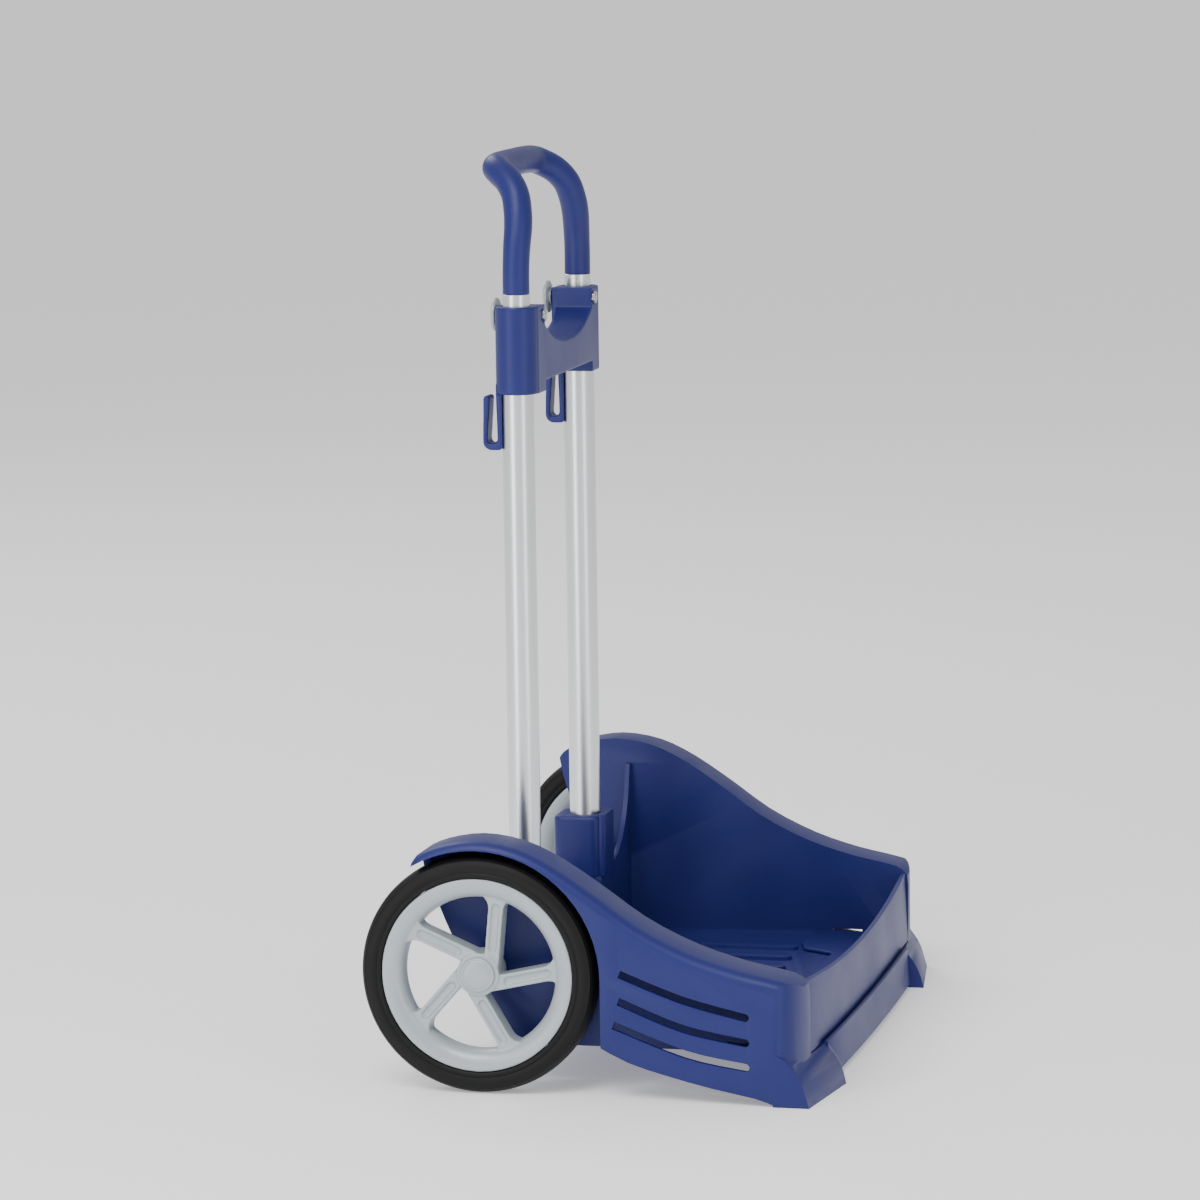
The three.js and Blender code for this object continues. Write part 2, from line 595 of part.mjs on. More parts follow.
const SLEEVE_RADIUS = 13.3;
const SLEEVE_INNER_X = 61.7; // the clamp ears end here
const BRIDGE_BOTTOM = 420.5;
const SADDLE_MIDDLE = 441;
const SADDLE_END = 455.5;
const HOOK_HALF_WIDTH = 7;

function sleeve() {
  const body = rodZ(SLEEVE_RADIUS, HEAD_BOTTOM, HEAD_TOP, -TUBE_X, AXLE_Y, 32);
  const ears = box([-TUBE_X, -SLEEVE_INNER_X], [HEAD_FRONT, 83.8], [HEAD_BOTTOM, HEAD_TOP]);
  return body.add(ears);
}

function bridge() {
  const top = [];
  for (let i = 0; i <= 12; i += 1) {
    const x = -SLEEVE_INNER_X + (2 * SLEEVE_INNER_X * i) / 12;
    const rise = (SADDLE_END - SADDLE_MIDDLE) * Math.abs(x / SLEEVE_INNER_X) ** 2.4;
    top.push([x, SADDLE_MIDDLE + rise]);
  }
  const end = SLEEVE_INNER_X + 1;
  const outline = [...top, [end, SADDLE_END], [end, BRIDGE_BOTTOM], [-end, BRIDGE_BOTTOM], [-end, SADDLE_END]];
  const body = prismY(outline, HEAD_FRONT, 80);
  const pocketTop = top.filter(([x]) => Math.abs(x) < 58).map(([x, z]) => [x, z - WALL]);
  const pocket = prismY([...pocketTop, [57, 400], [-57, 400]], HEAD_FRONT + WALL, 77);
  return body.subtract(pocket);
}

// Each hook is a J under the rear of the sleeve, open upwards, for a bag's strap.
function strapHook() {
  const outer = [...arc(84, 384.5, 6, 220, 270, 3), ...arc(86.5, 384.5, 6, 280, 355, 4)];
  const inner = [...arc(86.5, 385, 3, 0, -80, 3), [84.6, 383.4]];
  const outline = [
    [76, HEAD_BOTTOM + 4], [76, 384], ...outer,
    ...arc(88.6, 410.5, 1.4, 10, 170, 4), ...inner, [83.8, 388], [83.8, HEAD_BOTTOM + 4],
  ];
  const body = prismX(outline, -TUBE_X - HOOK_HALF_WIDTH, -TUBE_X + HOOK_HALF_WIDTH);
  return body.subtract(rodZ(TUBE_BORE, 300, 500, -TUBE_X, AXLE_Y, 32));
}

function crossHead() {
  let head = bothSides(sleeve().add(strapHook())).add(bridge());
  const bore = rodZ(TUBE_BORE, 300, OUTER_TUBE_TOP + GAP, -TUBE_X, AXLE_Y, 32);
  const collar = rodZ(INNER_TUBE_RADIUS + GAP, 300, 500, -TUBE_X, AXLE_Y, 32);
  const boltHole = rodY(2 + GAP, 40, 100, -CLAMP_X, CLAMP_Z, 12);
  const nutPocket = rodY(4.4, 40, HEAD_FRONT + 1.6, -CLAMP_X, CLAMP_Z, 6);
  head = head.subtract(bothSides(bore.add(collar)));
  return head.subtract(bothSides(boltHole.add(nutPocket)));
}

function clampKnob() {
  const disc = rodY(10.5, 85.6, 88.4, -CLAMP_X, CLAMP_Z, 28);
  const neck = rodY(5, 84.2, 86, -CLAMP_X, CLAMP_Z, 16);
  return disc.add(neck).subtract(rodY(2 + GAP, 80, 87.2, -CLAMP_X, CLAMP_Z, 12));
}

addPiece('cross_head', crossHead(), bluePlastic);
addPair('clamp_knob', clampKnob(), greyPlastic);
addPair('clamp_bolt', rodY(2, 54.6, 86.9, -CLAMP_X, CLAMP_Z, 12), steel);
const nut = rodY(4.04, 55, HEAD_FRONT + 1.3, -CLAMP_X, CLAMP_Z, 6);
addPair('clamp_nut', nut.subtract(rodY(2 + GAP, 40, 70, -CLAMP_X, CLAMP_Z, 12)), steel);

// ---------------------------------------------------------------- handle

const HANDLE_RADIUS = 8.8;
const SPIGOT_LENGTH = 24;
// Half of the U, from the grip's foot to the middle of the crossbar, which leans rearwards.
const HANDLE_PATH = [
  [80, 70.5, GRIP_BOTTOM], [80, 70.4, 490], [78, 70.2, 504], [74.4, 70, 516], [70.8, 71, 526],
  [66, 73.7, 536], [60, 79.5, 544], [53, 87, 549.3], [44, 91, 551.5], [0, 92, 552],
];

function handle() {
  const half = HANDLE_PATH.map(([x, y, z]) => new THREE.Vector3(x, y, z));
  const other = half.slice(0, -1).reverse().map((p) => new THREE.Vector3(-p.x, p.y, p.z));
  const path = new THREE.CatmullRomCurve3([...half, ...other], false, 'centripetal');
  const section = new THREE.Shape(arc(0, 0, HANDLE_RADIUS, 0, 337.5, 15).map(([u, v]) => new THREE.Vector2(u, v)));
  const bar = new THREE.ExtrudeGeometry(section, { steps: 40, extrudePath: path, bevelEnabled: false });
  const spigotRadius = INNER_TUBE_RADIUS - TUBE_WALL - GAP;
  const spigot = rodZ(spigotRadius, GRIP_BOTTOM - SPIGOT_LENGTH, GRIP_BOTTOM + 6, -TUBE_X, AXLE_Y, 20);
  return solid(bar).add(bothSides(spigot));
}

addPiece('handle', handle(), bluePlastic);

export default trolley;
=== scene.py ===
# %% [markdown]
# # A school-bag trolley in Blender
#
# The trolley is a blue moulded tray on two spoked wheels, with twin aluminium tubes, a moulded
# cross head that clamps them, and a U handle that telescopes. Its real sizes and joints come
# from a CAD model, which is loaded first and never moved. Each cell then makes one piece, or one
# finish, over the CAD piece that it stands for.

import math

import bpy
from mathutils import Matrix, Vector


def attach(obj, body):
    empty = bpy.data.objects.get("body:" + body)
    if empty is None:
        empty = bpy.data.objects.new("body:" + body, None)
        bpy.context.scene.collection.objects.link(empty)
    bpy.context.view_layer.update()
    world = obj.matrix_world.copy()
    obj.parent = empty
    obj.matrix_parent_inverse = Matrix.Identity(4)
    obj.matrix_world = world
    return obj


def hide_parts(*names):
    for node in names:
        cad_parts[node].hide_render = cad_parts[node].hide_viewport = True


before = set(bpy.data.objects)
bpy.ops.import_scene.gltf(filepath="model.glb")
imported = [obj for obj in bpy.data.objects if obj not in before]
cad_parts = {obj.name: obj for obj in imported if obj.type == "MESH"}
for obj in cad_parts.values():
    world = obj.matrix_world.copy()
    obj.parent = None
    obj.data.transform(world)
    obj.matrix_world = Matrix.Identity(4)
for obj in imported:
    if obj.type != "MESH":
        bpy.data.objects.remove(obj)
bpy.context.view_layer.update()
print("CAD pieces:", len(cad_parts))

MM = 0.001

# %% [markdown]
# ## Sizes shared by several pieces
#
# They are the CAD model's own, in millimetres: +Z is up, the front of the tray is towards -Y and
# the wheel axle lies along X. The left-hand pieces are at -X, and the right-hand ones are their
# mirror images, so each pair is modelled once.

# %% Shared sizes
AXLE_Y, AXLE_Z = 70.5, 73.2
TUBE_X = 80.0
HALF_WIDTH = 206.0
WHEEL_OUTER_X, WHEEL_INNER_X = -204.4, -180.4
WHEEL_MIDDLE_X = (WHEEL_OUTER_X + WHEEL_INNER_X) / 2
RIM_RADIUS, WHEEL_RADIUS = 59.4, 73.2
X_AXIS, Y_AXIS, Z_AXIS = Vector((1, 0, 0)), Vector((0, 1, 0)), Vector((0, 0, 1))

# %% [markdown]
# ## Helpers for selecting and editing
#
# An operator works on whatever is selected, and the CAD pieces arrive selected, so every helper
# starts by clearing the selection. `edit` opens one object with all of it selected, and `pick`
# selects faces by where they are.

# %% Selecting


def only(obj):
    """Leaves edit mode, then selects obj alone."""
    if bpy.context.object and bpy.context.object.mode != "OBJECT":
        bpy.ops.object.mode_set(mode="OBJECT")
    bpy.ops.object.select_all(action="DESELECT")
    obj.select_set(True)
    bpy.context.view_layer.objects.active = obj
    return obj


def edit(obj):
    only(obj)
    bpy.ops.object.mode_set(mode="EDIT")
    bpy.ops.mesh.select_all(action="SELECT")


def leave(obj=None):
    bpy.ops.object.mode_set(mode="OBJECT")
    return obj or bpy.context.object


def pick(obj, test):
    """Opens obj with only the faces selected whose centre and normal pass the test."""
    only(obj)
    for polygon in obj.data.polygons:
        polygon.select = test(polygon.center / MM, polygon.normal)
    for item in (*obj.data.vertices, *obj.data.edges):
        item.select = False
    bpy.ops.object.mode_set(mode="EDIT")
    bpy.ops.mesh.select_mode(type="FACE")


def point(x, y, z):
    return Vector((x, y, z)) * MM


# %% [markdown]
# ## Helpers for making a shape
#
# Most mouldings are an outline pushed through, or a profile turned about an axis. The outline is
# drawn as by hand: one vertex is pulled from point to point. `prism` fills it and extrudes it,
# and `turned` spins it. `block` and `rod` start from the cube and the cylinder.

# %% Outlines, prisms and turned shapes


def trace(name, points, fill):
    """Pulls a single vertex along the points. fill closes the outline with one face."""
    bpy.ops.object.select_all(action="DESELECT")
    bpy.ops.mesh.primitive_plane_add(size=MM)
    obj = bpy.context.object
    obj.name = obj.data.name = name
    edit(obj)
    bpy.ops.mesh.select_mode(type="VERT")
    bpy.ops.mesh.merge(type="CENTER")
    bpy.ops.transform.translate(value=points[0])
    for a, b in zip(points, points[1:]):
        bpy.ops.mesh.extrude_vertices_move(TRANSFORM_OT_translate={"value": b - a})
    bpy.ops.mesh.select_all(action="SELECT")
    if fill:
        bpy.ops.mesh.edge_face_add()
    return obj


def tidy_normals(obj):
    bpy.ops.mesh.select_all(action="SELECT")
    bpy.ops.mesh.remove_doubles(threshold=0.002 * MM)
    bpy.ops.mesh.normals_make_consistent(inside=False)
    return leave(obj)


def prism(name, points, push):
    obj = trace(name, points, fill=True)
    bpy.ops.mesh.extrude_region_move(TRANSFORM_OT_translate={"value": Vector(push) * MM})
    return tidy_normals(obj)


def prism_x(name, outline, x0, x1):
    return prism(name, [point(x0, y, z) for y, z in outline], (x1 - x0, 0, 0))


def prism_y(name, outline, y0, y1):
    return prism(name, [point(x, y0, z) for x, z in outline], (0, y1 - y0, 0))


def prism_z(name, outline, z0, z1):
    return prism(name, [point(x, y, z0) for x, y in outline], (0, 0, z1 - z0))


def turned(name, profile, centre, axis, steps):
    """Spins a profile of (radius, distance along the axis). It closes on itself or on the axis."""
    radial = Y_AXIS if axis is Z_AXIS else Z_AXIS
    points = [centre * MM + (radial * r + axis * along) * MM for r, along in profile]
    if profile[0][0] > 0:
        points.append(points[0].copy())
    obj = trace(name, points, fill=False)
    bpy.ops.mesh.spin(steps=steps, angle=2 * math.pi, center=centre * MM, axis=axis)
    return tidy_normals(obj)


def turned_wheel(name, profile, steps=112):
    return turned(name, profile, Vector((0, AXLE_Y, AXLE_Z)), X_AXIS, steps)


def turned_tube(name, profile, steps=72):
    return turned(name, profile, Vector((-TUBE_X, AXLE_Y, 0)), Z_AXIS, steps)


def block(name, low, high):
    bpy.ops.object.select_all(action="DESELECT")
    bpy.ops.mesh.primitive_cube_add(size=MM)
    obj = bpy.context.object
    obj.name = obj.data.name = name
    low, high = Vector(low), Vector(high)
    edit(obj)
    bpy.ops.transform.resize(value=high - low, center_override=(0, 0, 0))
    bpy.ops.transform.translate(value=(low + high) / 2 * MM)
    return leave(obj)


def rod(name, radius, start, end, vertices=64):
    """A cylinder between two points, placed and turned in its own mesh."""
    bpy.ops.object.select_all(action="DESELECT")
    start, end = Vector(start) * MM, Vector(end) * MM
    turn = (end - start).to_track_quat("Z", "Y").to_euler()
    bpy.ops.mesh.primitive_cylinder_add(
        vertices=vertices,
        radius=radius * MM,
        depth=(end - start).length,
        location=(start + end) / 2,
        rotation=turn,
    )
    obj = bpy.context.object
    obj.name = obj.data.name = name
    bpy.ops.object.transform_apply(location=True, rotation=True, scale=True)
    return obj


def arc(cu, cv, radius, start, end, steps):
    angles = [math.radians(start + (end - start) * i / steps) for i in range(steps + 1)]
    return [(cu + radius * math.cos(a), cv + radius * math.sin(a)) for a in angles]


def rounded_rectangle(u0, u1, v0, v1, radius, steps=8):
    return [
        *arc(u1 - radius, v1 - radius, radius, 0, 90, steps),
        *arc(u0 + radius, v1 - radius, radius, 90, 180, steps),
        *arc(u0 + radius, v0 + radius, radius, 180, 270, steps),
        *arc(u1 - radius, v0 + radius, radius, 270, 360, steps),
    ]


# %% [markdown]
# ## Helpers for joining and finishing
#
# Shapes are joined and cut by the Boolean modifier. Two things then make a hard shape look
# moulded: a Bevel modifier rounds the sharp edges of simple pieces, and where ribs and spokes run
# into each other with a fillet, a voxel Remesh with a Smooth modifier melts them together, as a
# mould's rounded corners do. Every modifier is applied, so the finished mesh is the shape.

# %% Joining and finishing


def apply_modifier(obj, name, kind, **settings):
    only(obj)
    modifier = obj.modifiers.new(name, kind)
    for key, value in settings.items():
        setattr(modifier, key, value)
    bpy.ops.object.modifier_apply(modifier=modifier.name)


def combine(obj, operation, *tools):
    for tool in tools:
        apply_modifier(
            obj, operation.lower(), "BOOLEAN", operation=operation, object=tool, solver="EXACT",
        )
        bpy.data.objects.remove(tool)
    return obj


def add_to(obj, *tools):
    return combine(obj, "UNION", *tools)


def cut_from(obj, *tools):
    return combine(obj, "DIFFERENCE", *tools)


def smooth_shading(obj, angle=38):
    only(obj)
    bpy.ops.object.shade_smooth_by_angle(angle=math.radians(angle))
    return obj


def round_edges(obj, width, segments=3, angle=38):
    """Rounds each edge sharper than the angle."""
    apply_modifier(
        obj, "round edges", "BEVEL", width=width * MM, segments=segments,
        limit_method="ANGLE", angle_limit=math.radians(angle),
    )
    return smooth_shading(obj)


def melt(obj, voxel, rounds):
    """Turns the shape into one even skin with a fillet in every corner."""
    apply_modifier(obj, "one skin", "REMESH", mode="VOXEL", voxel_size=voxel * MM)
    apply_modifier(obj, "fillets", "SMOOTH", factor=0.5, iterations=rounds)
    only(obj)
    bpy.ops.object.shade_smooth()
    return obj


def mirrored(obj, name):
    """The right-hand piece: a copy with its own mesh, turned inside out by the mirror and back."""
    only(obj)
    bpy.ops.object.duplicate(linked=False)
    copy = bpy.context.object
    copy.name = copy.data.name = name
    edit(copy)
    bpy.ops.transform.resize(value=(-1, 1, 1), center_override=(0, 0, 0))
    bpy.ops.mesh.flip_normals()
    return leave(copy)


def both_sides(obj):
    """A tool shape together with its mirror image, as one object."""
    other = mirrored(obj, obj.name + "_right")
    only(obj)
    other.select_set(True)
    bpy.ops.object.join()
    return bpy.context.object


def install(obj, body, node, finish):
    """Puts a finished piece in the CAD node's place, on the body that it moves with."""
    obj.data.materials.clear()
    obj.data.materials.append(finish)
    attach(obj, body)
    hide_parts(node)
    print(f"{obj.name}: {len(obj.data.polygons)} faces")


def install_pair(left, bodies, node, finish):
    """Installs the left-hand piece and its mirror image."""
    right = mirrored(left, left.name.replace("left", "right"))
    install(left, bodies[0], f"{node}_left", finish)
    install(right, bodies[1], f"{node}_right", finish)


CHASSIS = ("chassis", "chassis")
WHEELS = ("wheel_left", "wheel_right")
KNOBS = ("knob_left", "knob_right")
HANDLE = ("handle", "handle")

# %% [markdown]
# ## Helpers for a finish
#
# `linear` turns a colour picked in sRGB into the linear values that Blender mixes. `add_node`
# adds any node with its settings, and links an input when it is given another node's output.
# Patterns read Object coordinates, so a scale in features per metre is a real size.

# %% Colour and node helpers


def linear(hex_colour):
    """#rrggbb in sRGB to linear RGBA."""
    channels = [int(hex_colour[i:i + 2], 16) / 255 for i in (1, 3, 5)]
    bent = [c / 12.92 if c <= 0.04045 else ((c + 0.055) / 1.055) ** 2.4 for c in channels]
    return (*bent, 1.0)


def add_node(tree, kind, inputs=None, **settings):
    node = tree.nodes.new(kind)
    for key, value in settings.items():
        setattr(node, key, value)
    for key, value in (inputs or {}).items():
        if isinstance(value, bpy.types.NodeSocket):
            tree.links.new(value, node.inputs[key])
        else:
            node.inputs[key].default_value = value
    return node


def per_feature(size_mm):
    """A texture scale that gives features of this size."""
    return 1 / (size_mm * MM)


def new_finish(name, **shader_inputs):
    finish = bpy.data.materials.new(name)
    finish.use_nodes = True
    tree = finish.node_tree
    shader = tree.nodes["Principled BSDF"]
    for key, value in shader_inputs.items():
        shader.inputs[key.replace("_", " ")].default_value = value
    return finish, tree, shader


def moulded(name, light, dark, roughness, grain_mm, grain_height_mm, blotch_mm=45, **shader_inputs):
    """A moulded plastic: faint flow blotches in the colour, and a fine grain from the mould."""
    finish, tree, shader = new_finish(name, **shader_inputs)
    place = add_node(tree, "ShaderNodeTexCoord").outputs["Object"]
    flow = add_node(
        tree, "ShaderNodeTexNoise",
        {"Vector": place, "Scale": per_feature(blotch_mm), "Detail": 3.0},
    )
    colour = add_node(tree, "ShaderNodeMix", {"Factor": flow.outputs["Fac"]}, data_type="RGBA")
    # The Mix node's colour sockets share their names with its other types: they are set by place.
    colour.inputs[6].default_value = linear(dark)
    colour.inputs[7].default_value = linear(light)
    tree.links.new(colour.outputs[2], shader.inputs["Base Color"])
    grain = add_node(
        tree, "ShaderNodeTexNoise",
        {"Vector": place, "Scale": per_feature(grain_mm), "Detail": 2.0},
    )
    gloss = add_node(
        tree, "ShaderNodeMapRange",
        {"Value": flow.outputs["Fac"], "From Min": 0.3, "From Max": 0.7,
         "To Min": roughness - 0.04, "To Max": roughness + 0.04},
    )
    tree.links.new(gloss.outputs["Result"], shader.inputs["Roughness"])
    bump = add_node(
        tree, "ShaderNodeBump",
        {"Height": grain.outputs["Fac"], "Strength": 0.35, "Distance": grain_height_mm * MM},
    )
    tree.links.new(bump.outputs["Normal"], shader.inputs["Normal"])
    return finish


# %% [markdown]
# ## Blue moulded polypropylene
#
# The tray, its front panel, the tube sockets, the cross head and the handle are injection-moulded
# polypropylene, coloured through. The mould is finely sparked, so the skin is satin: highlights
# are soft and wide, with no mirror image in them. Real spark grain is about 0.1 mm, too fine to
# show, so it is drawn at 0.8 mm.

# %% Blue polypropylene
blue_polypropylene = moulded(
    "blue_moulded_polypropylene", light="#20276c", dark="#1c2260", roughness=0.42,
    grain_mm=0.8, grain_height_mm=0.02, IOR=1.45, Specular_IOR_Level=0.38,
)

# %% [markdown]
# ## Silver-grey ABS
#
# The rims, hub caps and clamp knobs are ABS with a little aluminium flake in the colour. It is
# smoother than the tray and slightly pearly, so it gets a small metallic share.

# %% Grey ABS
grey_abs = moulded(
    "silver_grey_moulded_abs", light="#aeb6ba", dark="#a4adb2", roughness=0.34,
    grain_mm=0.9, grain_height_mm=0.008, IOR=1.54, Metallic=0.15,
)

# %% [markdown]
# ## Black tyre rubber
#
# The tyres are a soft black elastomer, matt and very slightly grey where they have been handled.
# A coarse, weak grain stands for the moulded skin.

# %% Black rubber
black_rubber = moulded(
    "black_moulded_rubber", light="#0b0b0c", dark="#070708", roughness=0.55,
    grain_mm=1.4, grain_height_mm=0.05, blotch_mm=25, IOR=1.42, Specular_IOR_Level=0.35,
)

# %% [markdown]
# ## Black nylon
#
# Glide plugs and wheel spacers are plain black nylon, a little glossier than rubber.

# %% Black nylon
black_nylon = moulded(
    "black_moulded_nylon", light="#222224", dark="#1a1a1c", roughness=0.42,
    grain_mm=1.0, grain_height_mm=0.015, IOR=1.53,
)

# %% [markdown]
# ## Satin anodised aluminium
#
# The tubes are extruded, then etched and anodised. Extrusion leaves fine lines along the tube,
# which stretch highlights across it. Real die lines are finer than 0.1 mm; they are drawn about
# 0.7 mm apart and 300 mm long, by a noise that is squeezed along Z.

# %% Anodised aluminium


def drawn_metal(name, colour, roughness, line_mm, length_mm, depth_mm):
    finish, tree, shader = new_finish(name, Base_Color=linear(colour), Metallic=1.0)
    place = add_node(tree, "ShaderNodeTexCoord").outputs["Object"]
    across, along = per_feature(line_mm), per_feature(length_mm)
    stretched = add_node(
        tree, "ShaderNodeMapping", {"Vector": place, "Scale": (across, across, along)},
    )
    lines = add_node(
        tree, "ShaderNodeTexNoise",
        {"Vector": stretched.outputs["Vector"], "Scale": 1.0, "Detail": 2.0},
    )
    gloss = add_node(
        tree, "ShaderNodeMapRange",
        {"Value": lines.outputs["Fac"], "From Min": 0.3, "From Max": 0.7,
         "To Min": roughness - 0.05, "To Max": roughness + 0.05},
    )
    tree.links.new(gloss.outputs["Result"], shader.inputs["Roughness"])
    bump = add_node(
        tree, "ShaderNodeBump",
        {"Height": lines.outputs["Fac"], "Strength": 0.25, "Distance": depth_mm * MM},
    )
    tree.links.new(bump.outputs["Normal"], shader.inputs["Normal"])
    return finish


anodised_aluminium = drawn_metal(
    "satin_anodised_aluminium", "#dfe2e4", roughness=0.30, line_mm=0.7, length_mm=300, depth_mm=0.01,
)

# %% [markdown]
# ## Zinc-plated steel
#
# The axle, washers, screws, bolts and nuts are bright zinc-plated steel, slightly uneven in gloss.

# %% Zinc-plated steel
zinc_steel = drawn_metal(
    "bright_zinc_plated_steel", "#c3c5c4", roughness=0.32, line_mm=1.2, length_mm=6, depth_mm=0.01,
)

# %% [markdown]
# ## Tyre
#
# The tyre is a solid ring with bulged sidewalls: a round bead against the rim, a groove beside
# it, and a thin raised line on the shoulder. All of that is in the profile, which is turned once
# about the axle.

# %% Tyre
TYRE_SIDE = [
    (59.7, 10.2), (59.9, 11.2), (60.6, 11.75), (61.6, 11.95), (62.4, 11.8), (62.8, 11.45),
    (63.1, 11.3), (63.5, 11.45), (64.3, 11.75), (65.4, 11.95), (66.8, 11.9), (68.2, 11.5),
    (69.4, 10.9), (69.9, 10.65), (70.2, 10.75), (70.5, 10.6), (70.7, 10.1), (71.4, 9.5),
    (72.2, 8.2), (72.8, 6.4), (73.1, 4.2), (73.2, 2.0),
]
tyre_profile = [(r, WHEEL_MIDDLE_X - w) for r, w in TYRE_SIDE]
tyre_profile += [(WHEEL_RADIUS, WHEEL_MIDDLE_X)]
tyre_profile += [(r, WHEEL_MIDDLE_X + w) for r, w in reversed(TYRE_SIDE)]
tyre = smooth_shading(turned_wheel("tyre_left_visual", tyre_profile, 144), 30)
install_pair(tyre, WHEELS, "tyre", black_rubber)

# %% [markdown]
# ## Rim
#
# The rim is one moulding: a fat rounded ring, a hub boss and five spokes that run beside the
# centre like a pinwheel, each with a long round-ended pocket. Ring and boss are turned, one spoke
# outline is traced five times round, and everything is united, bored and melted, so each spoke
# flares into the ring as the moulding does.

# %% Rim
RING_DEPTH = 12.4  # radial
RING_HALF = 11.3
BOSS_RADIUS, BOSS_FACE_X = 13.2, -200.7
SPOKE_FACE_X, SPOKE_BACK_X = -199.4, -186.5
SPOKE_OFFSET = 7.5
SPOKE_ANGLES = [5.5 + 72 * i for i in range(5)]
SPOKE_HALF = 4.6
SPOKE_ROOT, SPOKE_TIP = 2, 51  # distances from the hub along the spoke
FLARE_WIDTH, FLARE_LENGTH = 5.5, 4.6
POCKET_DEPTH = 1.7
BORE_RADIUS, CAP_SEAT_RADIUS = 4.3, 9.2


def ring_profile(steps=28):
    """Flat against the tyre and bulged towards the hub."""
    profile = []
    for i in range(steps + 1):
        angle = math.radians(-90 + 180 * i / steps)
        inward = abs(math.cos(angle)) ** 0.8
        across = math.copysign(abs(math.sin(angle)) ** 0.8, angle)
        profile.append((RIM_RADIUS - RING_DEPTH * inward, WHEEL_MIDDLE_X + RING_HALF * across))
    return profile


def around_hub(outline, degrees):
    """Moves an outline of (y, z), drawn with the hub at the origin, round the hub to its angle."""
    c, s = math.cos(math.radians(degrees)), math.sin(math.radians(degrees))
    return [(AXLE_Y + y * c - z * s, AXLE_Z + y * s + z * c) for y, z in outline]


def spoke_outline():
    """A straight bar that widens where it meets the ring."""
    steps = 24
    right = []
    for i in range(steps + 1):
        z = SPOKE_ROOT + (SPOKE_TIP - SPOKE_ROOT) * i / steps
        flare = FLARE_WIDTH * math.exp(-((z - SPOKE_TIP) / FLARE_LENGTH) ** 2)
        right.append((SPOKE_HALF + flare, z))
    outline = right + [(-half, z) for half, z in reversed(right)]
    return [(y - SPOKE_OFFSET, z) for y, z in outline]


def pocket_outline():
    return [(y - SPOKE_OFFSET, z) for y, z in rounded_rectangle(-2.5, 2.5, 14.5, 44.5, 2.45)]


def on_axle(x):
    return (x, AXLE_Y, AXLE_Z)


rim = turned_wheel("rim_left_visual", ring_profile(), 128)
add_to(rim, rod("boss", BOSS_RADIUS, on_axle(BOSS_FACE_X), on_axle(WHEEL_INNER_X), 72))
for angle in SPOKE_ANGLES:
    add_to(rim, prism_x("spoke", around_hub(spoke_outline(), angle), SPOKE_FACE_X, SPOKE_BACK_X))
for angle in SPOKE_ANGLES:
    outline = around_hub(pocket_outline(), angle)
    cut_from(rim, prism_x("pocket", outline, SPOKE_FACE_X - 1, SPOKE_FACE_X + POCKET_DEPTH))
cut_from(
    rim,
    rod("bore", BORE_RADIUS, on_axle(-210), on_axle(-170), 48),
    rod("cap seat", CAP_SEAT_RADIUS, on_axle(-210), on_axle(-194), 64),
)
melt(rim, voxel=0.66, rounds=7)
install_pair(rim, WHEELS, "rim", grey_abs)

# %% [markdown]
# ## Hub cap
#
# A low dome with a turned step round its edge snaps into the boss and hides the end of the axle.

# %% Hub cap
cap_profile = [
    (0, -203.3), (4.5, -203.22), (7.6, -202.9), (8.6, -202.6), (8.85, -202.35), (9.1, -202.45),
    (9.6, -202.5), (10.2, -202.25), (10.6, -201.8), (10.7, -201.2), (10.6, -200.85), (8.8, -200.8),
    (8.8, -198.6), (0, -198.6),
]
cap = smooth_shading(turned_wheel("hub_cap_left_visual", cap_profile, 96), 40)
install_pair(cap, WHEELS, "hub_cap", grey_abs)

# %% [markdown]
# ## Axle, washers and spacers
#
# Plain turned parts. The axle runs through the beam and both tubes, a spacer keeps each wheel off
# the tray, and a washer under the hub cap holds it on.

# %% Axle, washers and spacers
axle_profile = [(0, -198), (3.5, -198), (4, -197.5), (4, 197.5), (3.5, 198), (0, 198)]
axle = smooth_shading(turned_wheel("axle_visual", axle_profile, 48))
install(axle, "chassis", "axle", zinc_steel)
washer_profile = [(4.3, -197), (7.9, -197), (8.2, -196.7), (8.2, -194.6), (7.9, -194.3), (4.3, -194.3)]
washer = smooth_shading(turned_wheel("retaining_washer_left_visual", washer_profile, 64))
install_pair(washer, CHASSIS, "retaining_washer", zinc_steel)
spacer_profile = [(4.3, -180), (7.6, -180), (8, -179.6), (8, -173.7), (7.6, -173.3), (4.3, -173.3)]
spacer = smooth_shading(turned_wheel("wheel_spacer_left_visual", spacer_profile, 64))
install_pair(spacer, CHASSIS, "wheel_spacer", black_nylon)

# %% [markdown]
# ## Tubes
#
# The outer tubes are 20 mm and the inner ones 17 mm, both with a 1.2 mm wall. A tube is the
# rectangle of its wall turned about its own axis, with its cut ends slightly broken.

# %% Tubes
OUTER_TUBE_RADIUS, OUTER_TUBE_BOTTOM, OUTER_TUBE_TOP = 10, 60, 455.7
INNER_TUBE_RADIUS, INNER_TUBE_BOTTOM, INNER_TUBE_TOP = 8.5, 128, 475.5


def tube_profile(radius, low, high, wall=1.2, chamfer=0.25):
    bore = radius - wall
    return [
        (bore, low + chamfer), (bore + chamfer, low), (radius - chamfer, low), (radius, low + chamfer),
        (radius, high - chamfer), (radius - chamfer, high), (bore + chamfer, high), (bore, high - chamfer),
    ]


